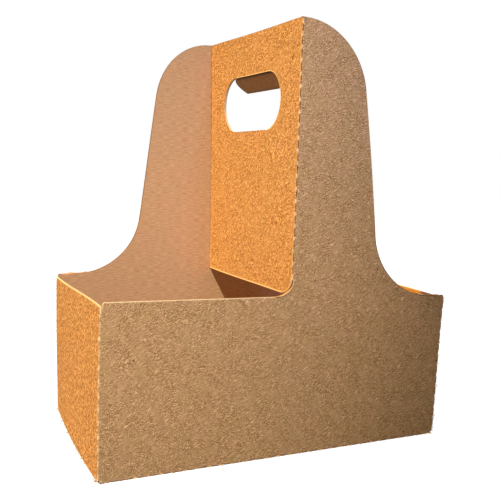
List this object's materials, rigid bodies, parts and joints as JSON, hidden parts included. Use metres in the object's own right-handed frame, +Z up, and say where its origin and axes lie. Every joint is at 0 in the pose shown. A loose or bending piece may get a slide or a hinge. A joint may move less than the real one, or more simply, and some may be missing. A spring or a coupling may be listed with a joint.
{
  "type": "cardboard cup carrier",
  "caption": "Folded kraft-board carrier: a low open sleeve for cups, with a bell-shaped handle whose halves are joined by a glued divider with a hand hole.",
  "frame": {"origin": "middle of the underside", "axes": "+Z up, -Y towards the front wall, +X to the right along the front wall"},
  "size_m": [0.184, 0.105, 0.211],
  "materials": {
    "kraft_board": "matte unbleached kraft"
  },
  "bodies": {
    "root": {"carrier": "kraft_board"}
  },
  "joints": []
}
